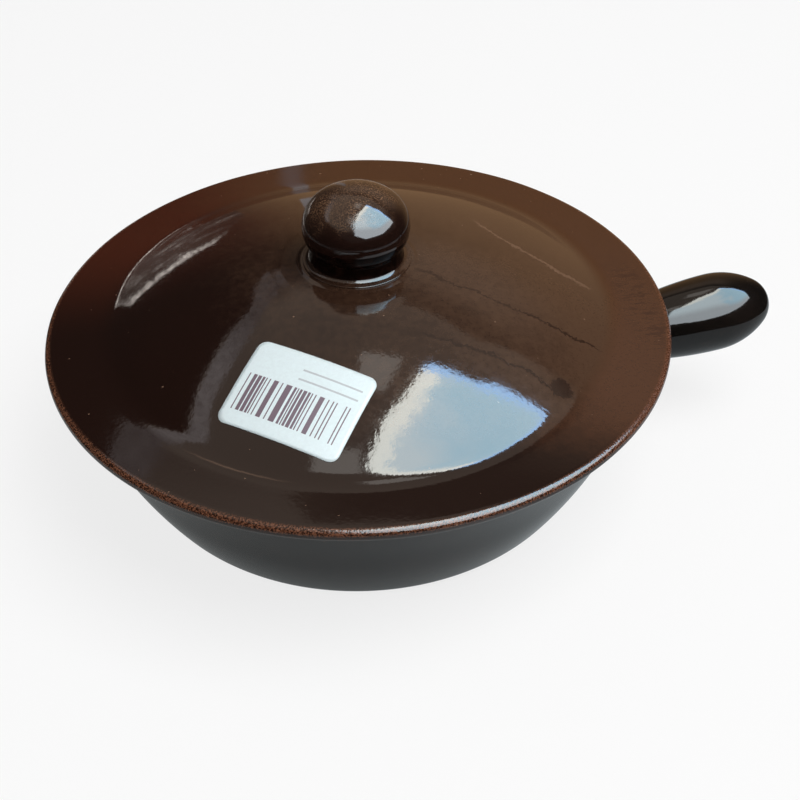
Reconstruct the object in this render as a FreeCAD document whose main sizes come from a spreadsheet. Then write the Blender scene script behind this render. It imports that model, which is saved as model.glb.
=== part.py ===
import FreeCAD, Part
import math
import os
import Sketcher

# Covered earthenware pan: a round bowl with one club handle and a domed lid that lifts off.
# The row frame has its origin at the centre of the bowl's flat base, +Z up, the handle along +X.
# All sizes are in millimetres and degrees.

doc = FreeCAD.newDocument("covered_pan")
sheet = doc.addObject("Spreadsheet::Sheet", "Sizes")

# Sizes that can be set by themselves: alias, value, meaning.
DRIVING = [
    ("rim_radius", "96", "outer radius of the bowl at its rim"),
    ("bowl_height", "51.5", "height of the rim above the table"),
    ("base_radius", "75.3", "radius at which the wall would meet the table"),
    ("wall_bulge", "2.4", "how far the wall bows out from a straight cone"),
    ("wall_thick", "5.5", "thickness of the bowl's wall"),
    ("floor_thick", "6.5", "thickness of the bowl's floor"),
    ("heel_round", "12", "rounding between wall and base, outside"),
    ("well_round", "12", "rounding between wall and floor, inside"),
    ("rim_round", "2.2", "rounding of the rim's two edges"),
    ("lid_overhang", "7", "how far the lid reaches past the bowl's rim"),
    ("flange_width", "19.4", "flat edge of the lid, from its outline to the dome"),
    ("flange_thick", "4.6", "thickness of the lid's flat edge"),
    ("bead_round", "2.1", "rounding of the lid's outline"),
    ("dome_rise", "21.8", "height of the dome's crown over the flat edge"),
    ("dome_thick", "5.5", "thickness of the dome"),
    ("crease_round", "7", "cove where the dome leaves the flat edge"),
    ("lip_clearance", "1.5", "play between the lid's lip and the bowl's mouth"),
    ("lip_thick", "5", "thickness of the locating lip"),
    ("lip_depth", "5", "how deep the lip reaches into the bowl"),
    ("lip_round", "1.6", "rounding of the lip's lower edges"),
    ("ring_gap", "7.4", "distance of the turned ring from the knob's seat"),
    ("ring_step", "0.35", "height of the turned ring"),
    ("ring_ramp", "0.9", "width over which the ring steps up"),
    ("knob_radius", "17.25", "largest radius of the knob"),
    ("knob_crown", "13.1", "height of the knob's top over its widest ring"),
    ("knob_side_round", "11", "rounding of the knob's widest ring"),
    ("knob_inset", "2.75", "how far the knob draws in to the waist under the ball"),
    ("knob_neck_height", "5.05", "height of the waist over the seat"),
    ("knob_neck_flare", "0.5", "how much wider the neck is at its foot than at the waist"),
    ("knob_waist_round", "1", "cove between waist and ball"),
    ("knob_cove", "2.2", "cove of clay that joins the neck to the foot"),
    ("knob_foot_edge", "0.4", "height of the foot's rim on the dome"),
    ("seat_margin", "0.8", "flat of the dome that shows round the knob's foot"),
    ("handle_drop", "17.4", "depth of the handle's axis below the rim, at the rim"),
    ("handle_slope_angle", "10", "angle at which the handle rises outwards"),
    ("handle_length", "50.2", "reach of the handle past the rim, along its axis"),
    ("handle_end_length", "20.2", "rounded end of the handle, from its widest place"),
    ("handle_neck_radius", "10", "radius of the handle under the edge of the rim"),
    ("handle_swell", "3.6", "how much the handle widens from neck to widest place"),
    ("handle_tip_round", "10", "rounding of the handle's tip"),
    ("handle_blend", "2.5", "cove of clay that joins the handle to the wall"),
    ("label_length", "40", "long side of the paper label"),
    ("label_width", "30", "short side of the paper label"),
    ("label_corner", "3", "corner radius of the label"),
    ("label_thick", "0.15", "thickness of the paper with its glue"),
    ("label_inset", "23.1", "distance of the label's centre from the dome's edge"),
    ("label_bearing_angle", "-115.7", "direction of the label's centre, from the handle"),
    ("label_turn_angle", "79.7", "turn of the label's long side from the way to the rim"),
]

# Sizes that follow from the driving ones.
DERIVED = [
    ("wall_chord", "sqrt((rim_radius - base_radius) ^ 2 + bowl_height ^ 2)", "wall, foot to rim"),
    ("wall_curve", "(wall_chord ^ 2 / 4 + wall_bulge ^ 2) / (2 * wall_bulge)", "outer wall radius"),
    ("wall_inside_curve", "wall_curve - wall_thick", "inner wall radius"),
    (
        "curve_x",
        "(rim_radius + base_radius) / 2 - (wall_curve - wall_bulge) * bowl_height / wall_chord",
        "centre of both wall curves, from the axis",
    ),
    (
        "curve_z",
        "bowl_height / 2 + (wall_curve - wall_bulge) * (rim_radius - base_radius) / wall_chord",
        "centre of both wall curves, above the table",
    ),
    (
        "mouth_radius",
        "curve_x + sqrt(wall_inside_curve ^ 2 - (bowl_height - curve_z) ^ 2)",
        "inner radius of the rim",
    ),
    (
        "floor_radius",
        "curve_x + sqrt(wall_inside_curve ^ 2 - (floor_thick - curve_z) ^ 2)",
        "inner radius at the floor",
    ),
    ("lid_radius", "rim_radius + lid_overhang", "outline of the lid"),
    ("crease_radius", "lid_radius - flange_width", "radius where the dome starts"),
    ("dome_curve", "(crease_radius ^ 2 + dome_rise ^ 2) / (2 * dome_rise)", "dome radius"),
    ("dome_inside_curve", "dome_curve - dome_thick", "radius of the dome's underside"),
    ("dome_centre", "flange_thick + dome_rise - dome_curve", "height of the dome's centre"),
    ("dome_inside_top", "dome_centre + dome_inside_curve", "crown of the underside"),
    (
        "lip_radius",
        "curve_x + sqrt(wall_inside_curve ^ 2 - (bowl_height - lip_depth - curve_z) ^ 2)"
        " - lip_clearance",
        "outer radius of the lip",
    ),
    ("lip_inside_radius", "lip_radius - lip_thick", "inner radius of the lip"),
    ("lip_bottom", "-lip_depth", "lower edge of the lip"),
    (
        "lip_inside_top",
        "dome_centre + sqrt(dome_inside_curve ^ 2 - lip_inside_radius ^ 2)",
        "height where the underside meets the lip",
    ),
    ("waist_radius", "knob_radius - knob_inset", "radius of the waist under the ball"),
    ("neck_radius", "waist_radius + knob_neck_flare", "radius of the neck at its foot"),
    ("foot_radius", "neck_radius + knob_cove + knob_foot_edge", "radius of the knob's foot"),
    (
        "side_round",
        "min(knob_side_round; 0.9 * knob_crown; 0.9 * knob_radius)",
        "rounding that the ball has room for",
    ),
    ("side_centre", "knob_radius - side_round", "centre of that rounding, from the axis"),
    (
        "ball_height",
        "knob_neck_height + sqrt(side_round ^ 2 - (waist_radius - side_centre) ^ 2)",
        "height of the knob's widest ring over the seat",
    ),
    ("knob_height", "ball_height + knob_crown", "height of the knob over its seat"),
    (
        "crown_curve",
        "(side_centre ^ 2 + knob_crown ^ 2 - side_round ^ 2) / (2 * (knob_crown - side_round))",
        "radius of the knob's top",
    ),
    ("crown_share", "crown_curve / (crown_curve - side_round)", "from centre to centre and on"),
    ("crown_start", "side_centre * crown_share", "radius where side and top meet"),
    (
        "crown_start_height",
        "knob_height - crown_curve + (crown_curve - knob_crown) * crown_share",
        "height where side and top meet",
    ),
    ("seat_radius", "foot_radius + seat_margin", "radius of the knob's flat seat"),
    ("ring_radius", "seat_radius + ring_gap", "radius of the turned ring's foot"),
    ("ring_height", "dome_centre + sqrt(dome_curve ^ 2 - ring_radius ^ 2)", "foot of the ring"),
    ("pad_curve", "dome_curve + ring_step", "radius of the dome inside the ring"),
    ("pad_radius", "ring_radius - ring_ramp", "radius of the ring's top"),
    ("pad_height", "dome_centre + sqrt(pad_curve ^ 2 - pad_radius ^ 2)", "height of the ring's top"),
    ("seat_height", "dome_centre + sqrt(pad_curve ^ 2 - seat_radius ^ 2)", "height of the knob's seat"),
    ("handle_height", "bowl_height - handle_drop", "height of the handle's axis at the rim"),
    (
        "handle_root",
        "curve_x + sqrt(wall_curve ^ 2 - (handle_height - handle_neck_radius - curve_z) ^ 2)"
        " - rim_radius - wall_thick / 2",
        "hidden start of the handle, half a wall deep at its low side",
    ),
    ("handle_radius", "handle_neck_radius + handle_swell", "largest radius of the handle"),
    ("handle_widest", "handle_length - handle_end_length", "place of the largest radius"),
    (
        "swell_curve",
        "(handle_widest ^ 2 + handle_swell ^ 2) / (2 * handle_swell)",
        "radius of the arc from the neck to the widest place",
    ),
    (
        "root_radius",
        "handle_radius - swell_curve + sqrt(swell_curve ^ 2 - (handle_widest - handle_root) ^ 2)",
        "radius of the handle's hidden start",
    ),
    ("tip_centre", "handle_length - handle_tip_round", "centre of the tip's rounding"),
    (
        "shoulder_curve",
        "((tip_centre - handle_widest) ^ 2 + handle_radius ^ 2 - handle_tip_round ^ 2)"
        " / (2 * (handle_radius - handle_tip_round))",
        "radius of the arc from the widest place to the tip",
    ),
    (
        "tip_share",
        "handle_tip_round / (shoulder_curve - handle_tip_round)",
        "from centre to centre and on",
    ),
    (
        "tip_start",
        "tip_centre + (tip_centre - handle_widest) * tip_share",
        "place where shoulder and tip meet",
    ),
    (
        "tip_start_radius",
        "(shoulder_curve - handle_radius) * tip_share",
        "radius where shoulder and tip meet",
    ),
    (
        "handle_room",
        "handle_drop - handle_neck_radius / cos(handle_slope_angle * 1deg)",
        "bare wall between the handle and the rim",
    ),
    ("rim_lean", "asin((curve_z - bowl_height) / wall_curve)", "how far the wall leans at the rim"),
    ("neck_lean", "asin(handle_widest / swell_curve)", "how far the neck's side leans"),
    (
        "notch_angle",
        "90deg - rim_lean - handle_slope_angle * 1deg - neck_lean",
        "angle between the wall and the top of the handle",
    ),
    (
        "handle_cove",
        "min(handle_blend; 0.75 * handle_room * tan(notch_angle / 2))",
        "cove that the wall has room for",
    ),
    ("label_radius", "crease_radius - label_inset", "distance of the label from the lid's axis"),
    ("label_curve", "dome_curve + label_thick", "outer radius of the bent label"),
    ("label_lean", "asin(label_radius / dome_curve)", "slope of the dome at the label"),
    ("label_half_length", "label_length / 2", "half the label's long side"),
    ("label_half_width", "label_width / 2", "half the label's short side"),
    ("label_reach", "sqrt(label_length ^ 2 + label_width ^ 2)", "more than the label's corners reach"),
    ("label_base", "sqrt(dome_curve ^ 2 - label_reach ^ 2)", "start of the label's blank"),
    ("label_blank", "label_curve + label_thick - label_base", "height of the label's blank"),
]


def fill_sheet():
    """Write every size and its meaning into the sheet."""
    rows = [(alias, value, note) for alias, value, note in DRIVING]
    rows += [(alias, "=" + formula, note) for alias, formula, note in DERIVED]
    for row, (alias, content, note) in enumerate(rows, start=1):
        sheet.set(f"A{row}", note)
        sheet.set(f"B{row}", content)
        sheet.setAlias(f"B{row}", alias)
    doc.recompute()


def size(alias):
    """Read one size from the sheet."""
    value = sheet.get(alias)
    return float(getattr(value, "Value", value))


def new_body(name):
    """Start a sub-part whose label is its file's name."""
    body = doc.addObject("PartDesign::Body", name)
    body.Label = name
    return body


def new_sketch(body, name, role):
    """Put a sketch on one of the body's own origin planes."""
    plane = next(item for item in body.Origin.OriginFeatures if item.Role == role)
    sketch = body.newObject("Sketcher::SketchObject", name)
    sketch.AttachmentSupport = [(plane, "")]
    sketch.MapMode = "FlatFace"
    return sketch


def tie_point(sketch, edge, end, across, up):
    """Tie an edge's end to the sheet; 0 puts it on an axis."""
    for kind, alias, axis in (("DistanceX", across, -2), ("DistanceY", up, -1)):
        if alias == 0:
            sketch.addConstraint(Sketcher.Constraint("PointOnObject", edge, end, axis))
        else:
            number = sketch.addConstraint(
                Sketcher.Constraint(kind, -1, 1, edge, end, size(alias))
            )
            sketch.setExpression(f"Constraints[{number}]", f"{sheet.Name}.{alias}")


def arc_between(start, finish, radius, turn):
    """Return the arc from start to finish that bends left (turn 1) or right (turn -1)."""
    chord = finish - start
    away = math.sqrt(max(radius**2 - chord.Length**2 / 4, 0))
    side = FreeCAD.Vector(-chord.y, chord.x, 0).normalize() * away * turn
    centre = start + chord / 2 + side
    first, last = (start, finish) if turn > 0 else (finish, start)
    angles = [math.atan2(point.y - centre.y, point.x - centre.x) for point in (first, last)]
    circle = Part.Circle(centre, FreeCAD.Vector(0, 0, 1), radius)
    return Part.ArcOfCircle(circle, angles[0], angles[1])


def draw_outline(sketch, corners, curves):
    """Draw a closed outline through corners tied to the sheet.

    curves gives, for the edge that leaves a corner, the radius's alias and the way it bends.
    """
    points = []
    for across, up in corners:
        points.append(FreeCAD.Vector(across and size(across), up and size(up), 0))
    ends = []
    for number, start in enumerate(points):
        finish = points[(number + 1) % len(points)]
        if number in curves:
            radius, turn = curves[number]
            edge = sketch.addGeometry(arc_between(start, finish, size(radius), turn))
            ends.append((edge, 1, 2) if turn > 0 else (edge, 2, 1))
        else:
            edge = sketch.addGeometry(Part.LineSegment(start, finish))
            ends.append((edge, 1, 2))
    for number, (edge, first, _) in enumerate(ends):
        before, _, last = ends[number - 1]
        sketch.addConstraint(Sketcher.Constraint("Coincident", before, last, edge, first))
    for (edge, first, _), (across, up) in zip(ends, corners):
        tie_point(sketch, edge, first, across, up)
    for number, (radius, _) in curves.items():
        edge = ends[number][0]
        tied = sketch.addConstraint(Sketcher.Constraint("Radius", edge, size(radius)))
        sketch.setExpression(f"Constraints[{tied}]", f"{sheet.Name}.{radius}")


def turn_profile(body, kind, name, sketch, axis):
    """Revolve a sketch about one of its axes, adding to the body or cutting it."""
    feature = body.newObject(kind, name)
    feature.Profile = sketch
    feature.ReferenceAxis = (sketch, [axis])
    feature.Angle = 360
    doc.recompute()
    return feature


def round_edges(body, name, radius, wanted):
    """Fillet the edges of the body's last feature that wanted() picks."""
    base = body.Tip
    edges = [f"Edge{i}" for i, edge in enumerate(base.Shape.Edges, start=1) if wanted(edge)]
    fillet = body.newObject("PartDesign::Fillet", name)
    fillet.Base = (base, edges)
    fillet.Radius = size(radius)
    fillet.setExpression("Radius", f"{sheet.Name}.{radius}")
    doc.recompute()
    return fillet


def ring_edge(*places):
    """Pick full circles about the body's axis, each at a radius and a height."""

    def wanted(edge):
        if edge.Degenerated or not isinstance(edge.Curve, Part.Circle):
            return False
        centre = edge.Curve.Center
        if math.hypot(centre.x, centre.y) > 0.01:
            return False
        return any(
            abs(edge.Curve.Radius - radius) < 0.01 and abs(centre.z - height) < 0.01
            for radius, height in places
        )

    return wanted


def bowl_outside(sketch):
    """Draw the space inside the bowl's outer wall, shared by the bowl's handle."""
    corners = [(0, 0), ("base_radius", 0), ("rim_radius", "bowl_height"), (0, "bowl_height")]
    draw_outline(sketch, corners, {1: ("wall_curve", 1)})


def make_bowl():
    """Turn the bowl: flat base, bowed wall, rounded rim."""
    body = new_body("pan_bowl")
    sketch = new_sketch(body, "bowl_section", "XZ_Plane")
    corners = [
        (0, 0),
        ("base_radius", 0),
        ("rim_radius", "bowl_height"),
        ("mouth_radius", "bowl_height"),
        ("floor_radius", "floor_thick"),
        (0, "floor_thick"),
    ]
    draw_outline(sketch, corners, {1: ("wall_curve", 1), 3: ("wall_inside_curve", -1)})
    turn_profile(body, "PartDesign::Revolution", "bowl_turned", sketch, "V_Axis")
    heel = ring_edge((size("base_radius"), 0))
    well = ring_edge((size("floor_radius"), size("floor_thick")))
    rim = ring_edge(
        (size("rim_radius"), size("bowl_height")), (size("mouth_radius"), size("bowl_height"))
    )
    round_edges(body, "bowl_heel", "heel_round", heel)
    round_edges(body, "bowl_well", "well_round", well)
    round_edges(body, "bowl_rim", "rim_round", rim)
    return body


def make_handle():
    """Turn the club handle and blend its root on to the bowl's wall.

    The bowl's outer form is built first, so that the cove between wall and handle is a true
    fillet, and is then cut away again, which leaves a root that fits the wall all over.
    """
    body = new_body("pan_handle")
    envelope = new_sketch(body, "wall_form", "XZ_Plane")
    bowl_outside(envelope)
    turn_profile(body, "PartDesign::Revolution", "wall_form_turned", envelope, "V_Axis")

    club = new_sketch(body, "handle_section", "XZ_Plane")
    lean = FreeCAD.Rotation(FreeCAD.Vector(0, 0, 1), size("handle_slope_angle"))
    club.AttachmentOffset = FreeCAD.Placement(
        FreeCAD.Vector(size("rim_radius"), size("handle_height"), 0), lean
    )
    club.setExpression("AttachmentOffset.Base.x", f"{sheet.Name}.rim_radius")
    club.setExpression("AttachmentOffset.Base.y", f"{sheet.Name}.handle_height")
    angle = f"{sheet.Name}.handle_slope_angle * 1deg"
    club.setExpression("AttachmentOffset.Rotation.Angle", angle)
    draw_club(club)
    turn_profile(body, "PartDesign::Revolution", "handle_turned", club, "H_Axis")

    wall_round = size("rim_radius")

    def root(edge):
        if edge.Degenerated:
            return False
        middle = edge.valueAt((edge.FirstParameter + edge.LastParameter) / 2)
        near = abs(middle.z - size("handle_height")) < 2 * size("handle_neck_radius")
        inside = size("base_radius") < math.hypot(middle.x, middle.y) < wall_round
        return near and inside and not isinstance(edge.Curve, Part.Circle)

    round_edges(body, "handle_joined", "handle_cove", root)

    bowl_space = new_sketch(body, "bowl_space", "XZ_Plane")
    bowl_outside(bowl_space)
    turn_profile(body, "PartDesign::Groove", "bowl_removed", bowl_space, "V_Axis")
    return body


def draw_club(sketch):
    """Draw half the handle's length section: it swells from the neck to a rounded end."""
    corners = [
        ("handle_root", 0),
        ("handle_length", 0),
        ("tip_start", "tip_start_radius"),
        ("handle_widest", "handle_radius"),
        ("handle_root", "root_radius"),
    ]
    curves = {1: ("handle_tip_round", 1), 2: ("shoulder_curve", 1), 3: ("swell_curve", 1)}
    draw_outline(sketch, corners, curves)


def make_lid():
    """Turn the lid: flat edge, dome, locating lip and a seat for the knob."""
    body = new_body("lid_plate")
    sketch = new_sketch(body, "lid_section", "XZ_Plane")
    corners = [
        (0, "dome_inside_top"),
        ("lip_inside_radius", "lip_inside_top"),
        ("lip_inside_radius", "lip_bottom"),
        ("lip_radius", "lip_bottom"),
        ("lip_radius", 0),
        ("lid_radius", 0),
        ("lid_radius", "flange_thick"),
        ("crease_radius", "flange_thick"),
        ("ring_radius", "ring_height"),
        ("pad_radius", "pad_height"),
        ("seat_radius", "seat_height"),
        (0, "seat_height"),
    ]
    curves = {0: ("dome_inside_curve", -1), 7: ("dome_curve", 1), 9: ("pad_curve", 1)}
    draw_outline(sketch, corners, curves)
    turn_profile(body, "PartDesign::Revolution", "lid_turned", sketch, "V_Axis")
    thick = size("flange_thick")
    bead = ring_edge((size("lid_radius"), 0), (size("lid_radius"), thick))
    lip = ring_edge(
        (size("lip_radius"), size("lip_bottom")), (size("lip_inside_radius"), size("lip_bottom"))
    )
    round_edges(body, "lid_bead", "bead_round", bead)
    round_edges(body, "lid_crease", "crease_round", ring_edge((size("crease_radius"), thick)))
    round_edges(body, "lid_lip", "lip_round", lip)
    body.setExpression("Placement.Base.z", f"{sheet.Name}.bowl_height")
    return body


def make_knob():
    """Turn the flattened ball knob on its short neck, coved on to a flat foot."""
    body = new_body("lid_knob")
    sketch = new_sketch(body, "knob_section", "XZ_Plane")
    corners = [
        (0, 0),
        ("foot_radius", 0),
        ("foot_radius", "knob_foot_edge"),
        ("neck_radius", "knob_foot_edge"),
        ("waist_radius", "knob_neck_height"),
        ("crown_start", "crown_start_height"),
        (0, "knob_height"),
    ]
    draw_outline(sketch, corners, {4: ("side_round", 1), 5: ("crown_curve", 1)})
    turn_profile(body, "PartDesign::Revolution", "knob_turned", sketch, "V_Axis")
    neck = ring_edge((size("neck_radius"), size("knob_foot_edge")))
    waist = ring_edge((size("waist_radius"), size("knob_neck_height")))
    round_edges(body, "knob_joined", "knob_cove", neck)
    round_edges(body, "knob_waist_cove", "knob_waist_round", waist)
    body.setExpression("Placement.Base.z", f"{sheet.Name}.bowl_height + {sheet.Name}.seat_height")
    return body


def make_label():
    """Bend a paper label on to the dome.

    The body's origin is the dome's centre and its +Z axis goes through the label's middle, so
    the label is a rounded blank trimmed between two spheres about that origin.
    """
    body = new_body("price_label")
    blank = new_sketch(body, "label_outline", "XY_Plane")
    draw_label_outline(blank)
    blank.AttachmentOffset = FreeCAD.Placement(
        FreeCAD.Vector(0, 0, size("label_base")), FreeCAD.Rotation()
    )
    blank.setExpression("AttachmentOffset.Base.z", f"{sheet.Name}.label_base")
    pad = body.newObject("PartDesign::Pad", "label_blank")
    pad.Profile = blank
    pad.setExpression("Length", f"{sheet.Name}.label_blank")
    doc.recompute()
    dome = body.newObject("PartDesign::SubtractiveSphere", "dome_removed")
    dome.setExpression("Radius", f"{sheet.Name}.dome_curve")
    doc.recompute()
    trim = new_sketch(body, "label_trim", "XZ_Plane")
    draw_label_trim(trim)
    turn_profile(body, "PartDesign::Groove", "label_thinned", trim, "V_Axis")
    place_label(body)
    return body


def draw_label_outline(sketch):
    """Draw the label's rounded rectangle about the sketch's origin."""
    half_length = size("label_half_length")
    half_width = size("label_half_width")
    corner = size("label_corner")
    corners = [
        (half_length - corner, half_width - corner, 0),
        (corner - half_length, half_width - corner, 90),
        (corner - half_length, corner - half_width, 180),
        (half_length - corner, corner - half_width, 270),
    ]
    arcs = []
    for across, up, angle in corners:
        circle = Part.Circle(FreeCAD.Vector(across, up, 0), FreeCAD.Vector(0, 0, 1), corner)
        start = math.radians(angle)
        arcs.append(sketch.addGeometry(Part.ArcOfCircle(circle, start, start + math.pi / 2)))
    sides = []
    for number, arc in enumerate(arcs):
        following = arcs[(number + 1) % 4]
        start = sketch.Geometry[arc].EndPoint
        finish = sketch.Geometry[following].StartPoint
        side = sketch.addGeometry(Part.LineSegment(start, finish))
        sketch.addConstraint(Sketcher.Constraint("Tangent", arc, 2, side, 1))
        sketch.addConstraint(Sketcher.Constraint("Tangent", side, 2, following, 1))
        sides.append(side)
    top, left, bottom, right = sides
    for side, kind in ((top, "Horizontal"), (bottom, "Horizontal"), (left, "Vertical")):
        sketch.addConstraint(Sketcher.Constraint(kind, side))
    for arc in arcs[1:]:
        sketch.addConstraint(Sketcher.Constraint("Equal", arcs[0], arc))
    tied = sketch.addConstraint(Sketcher.Constraint("Radius", arcs[0], corner))
    sketch.setExpression(f"Constraints[{tied}]", f"{sheet.Name}.label_corner")
    for kind, edge, alias, sign in (
        ("DistanceY", top, "label_half_width", 1),
        ("DistanceY", bottom, "label_half_width", -1),
        ("DistanceX", left, "label_half_length", -1),
        ("DistanceX", right, "label_half_length", 1),
    ):
        value = sign * size(alias)
        tied = sketch.addConstraint(Sketcher.Constraint(kind, -1, 1, edge, 1, value))
        factor = "-" if sign < 0 else ""
        sketch.setExpression(f"Constraints[{tied}]", f"{factor}{sheet.Name}.{alias}")


def draw_label_trim(sketch):
    """Draw what lies outside the bent label, from the axis out past its corners."""
    outer = size("label_curve")
    reach = size("label_reach")
    top = FreeCAD.Vector(0, outer, 0)
    start = FreeCAD.Vector(reach, math.sqrt(outer**2 - reach**2), 0)
    high = outer + size("label_blank")
    circle = Part.Circle(FreeCAD.Vector(0, 0, 0), FreeCAD.Vector(0, 0, 1), outer)
    angle = math.atan2(start.y, start.x)
    arc = sketch.addGeometry(Part.ArcOfCircle(circle, angle, math.pi / 2))
    up = sketch.addGeometry(Part.LineSegment(top, FreeCAD.Vector(0, high, 0)))
    over = sketch.addGeometry(
        Part.LineSegment(FreeCAD.Vector(0, high, 0), FreeCAD.Vector(reach, high, 0))
    )
    down = sketch.addGeometry(Part.LineSegment(FreeCAD.Vector(reach, high, 0), start))
    for kind, *where in (
        ("Coincident", arc, 3, -1, 1),
        ("PointOnObject", arc, 2, -2),
        ("Coincident", arc, 2, up, 1),
        ("Coincident", up, 2, over, 1),
        ("Coincident", over, 2, down, 1),
        ("Coincident", down, 2, arc, 1),
        ("Vertical", up),
        ("Horizontal", over),
        ("Vertical", down),
    ):
        sketch.addConstraint(Sketcher.Constraint(kind, *where))
    tied = sketch.addConstraint(Sketcher.Constraint("Radius", arc, outer))
    sketch.setExpression(f"Constraints[{tied}]", f"{sheet.Name}.label_curve")
    tied = sketch.addConstraint(Sketcher.Constraint("DistanceX", -1, 1, over, 2, reach))
    sketch.setExpression(f"Constraints[{tied}]", f"{sheet.Name}.label_reach")
    tied = sketch.addConstraint(Sketcher.Constraint("DistanceY", up, 1, up, 2, high - outer))
    sketch.setExpression(f"Constraints[{tied}]", f"{sheet.Name}.label_blank")


def place_label(body):
    """Turn the label's own +Z axis to its place on the dome."""
    names = {word: f"{sheet.Name}.label_{word}_angle * 1deg" for word in ("bearing", "turn")}
    lean = f"{sheet.Name}.label_lean"
    centre = f"vector(0; 0; {sheet.Name}.bowl_height + {sheet.Name}.dome_centre)"
    spin = f"rotationz({names['bearing']}) * rotationy({lean}) * rotationz({names['turn']})"
    body.setExpression("Placement", f"placement({centre}; {spin})")


def check_and_write(bodies):
    """Stop if anything failed, then write one STEP file per sub-part."""
    doc.recompute()
    for item in doc.Objects:
        if "Invalid" in item.State or "Error" in item.State:
            raise RuntimeError(f"{item.Label} failed: {item.State}")
    for body in bodies:
        if body.Shape.isNull() or not body.Shape.isValid():
            raise RuntimeError(f"{body.Label} has no valid shape")
        if len(body.Shape.Solids) != 1:
            raise RuntimeError(f"{body.Label} has {len(body.Shape.Solids)} solids")
    os.makedirs("parts", exist_ok=True)
    for body in bodies:
        box = body.Shape.BoundBox
        print(
            f"{body.Label}: volume {body.Shape.Volume:.1f} mm3, "
            f"x {box.XMin:.2f} to {box.XMax:.2f}, y {box.YMin:.2f} to {box.YMax:.2f}, "
            f"z {box.ZMin:.2f} to {box.ZMax:.2f}"
        )
        body.Shape.exportStep(f"parts/{body.Label}.step")


fill_sheet()
check_and_write([make_bowl(), make_handle(), make_lid(), make_knob(), make_label()])
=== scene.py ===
import math

import bpy
import numpy as np
from mathutils import Matrix, Vector, noise


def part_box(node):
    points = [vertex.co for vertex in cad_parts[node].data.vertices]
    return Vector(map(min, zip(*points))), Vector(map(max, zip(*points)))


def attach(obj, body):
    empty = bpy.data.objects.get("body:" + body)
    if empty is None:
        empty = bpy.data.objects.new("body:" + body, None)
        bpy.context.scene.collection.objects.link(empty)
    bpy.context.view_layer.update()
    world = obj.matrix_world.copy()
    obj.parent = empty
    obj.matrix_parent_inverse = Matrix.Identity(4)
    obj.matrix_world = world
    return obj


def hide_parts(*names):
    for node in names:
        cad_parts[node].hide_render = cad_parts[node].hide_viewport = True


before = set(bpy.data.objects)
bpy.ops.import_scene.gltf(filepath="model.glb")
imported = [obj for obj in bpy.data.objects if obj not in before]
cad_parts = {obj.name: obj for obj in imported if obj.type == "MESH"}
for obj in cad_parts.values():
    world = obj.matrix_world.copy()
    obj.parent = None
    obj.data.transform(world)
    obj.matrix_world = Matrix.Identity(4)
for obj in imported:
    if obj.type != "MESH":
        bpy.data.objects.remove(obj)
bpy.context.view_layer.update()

# Sizes in millimetres. The first ones come from the frame, so that the pieces fit
# the CAD nodes.
MM = 0.001
RIM_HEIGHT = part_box("pan_bowl")[1].z / MM
LID_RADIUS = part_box("lid_plate")[1].x / MM
LIP_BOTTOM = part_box("lid_plate")[0].z / MM
SEAT_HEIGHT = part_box("lid_plate")[1].z / MM
KNOB_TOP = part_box("lid_knob")[1].z / MM
FOOT_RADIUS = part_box("lid_knob")[1].x / MM

RIM_RADIUS = 96.0
BASE_RADIUS = 75.3
WALL_BULGE = 2.4
WALL_THICK = 5.5
FLOOR_THICK = 6.5
HEEL_ROUND = 12.0
WELL_ROUND = 12.0
RIM_ROUND = 2.2
FLANGE_WIDTH = 19.4
FLANGE_THICK = 4.6
BEAD_ROUND = 2.1
DOME_RISE = 21.8
DOME_THICK = 5.5
CREASE_ROUND = 14.0
LIP_CLEARANCE = 1.5
LIP_THICK = 5.0
LIP_ROUND = 1.6
UNDER_ROUND = 4.0
SOFT_EDGE = 0.8
SEAT_MARGIN = 0.8
RING_GAP = 7.4
RING_STEP = 0.07
RING_RAMP = 0.9
FOOT_RAMP = 1.2
RING_ROUND = 2.0
FOOT_ROUND = 1.0
SEAT_ROUND = 0.5
UNEVEN_DEPTH = 0.12
UNEVEN_SIZE = 20.0
UNEVEN_START = Vector((7.3, 3.1, 5.7))
KNOB_RADIUS = 17.25
KNOB_CROWN = 13.1
KNOB_SIDE_ROUND = 11.0
KNOB_WAIST_RADIUS = 14.5
KNOB_NECK_RADIUS = 15.0
KNOB_NECK_HEIGHT = 5.05
KNOB_WAIST_ROUND = 1.0
KNOB_COVE = 2.2
KNOB_FOOT_EDGE = 0.4
KNOB_FOOT_ROUND = 0.2
NECK_BOTTOM = 1.4
NECK_TOP = 2.0
HANDLE_DROP = 17.4
HANDLE_SLOPE = math.radians(10)
HANDLE_LENGTH = 50.2
HANDLE_WIDEST = 30.0
HANDLE_NECK_RADIUS = 10.0
HANDLE_RADIUS = 13.6
HANDLE_TIP_ROUND = 10.0
HANDLE_BLEND = 2.5
HANDLE_SINK = 1.5
HANDLE_END = -8.0
HANDLE_END_SHARE = 0.8
COVE_SINK = 0.1
LABEL_LENGTH = 40.0
LABEL_WIDTH = 30.0
LABEL_CORNER = 3.0
LABEL_THICK = 0.15
LABEL_INSET = 23.1
LABEL_BEARING = math.radians(-115.7)
LABEL_TURN = math.radians(79.7)

# What is printed on the label, in shares of its length and width: left, right,
# bottom, top.
BAR_BLOCK = (0.06, 0.92, 0.17, 0.60)
UPPER_RULE = (0.44, 0.93, 0.80, 0.82)
LOWER_RULE = (0.44, 0.93, 0.69, 0.71)
BAR_STEPS = 104.0
BAR_TURN = 0.61803
BAR_JUMP = 0.1373

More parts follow.
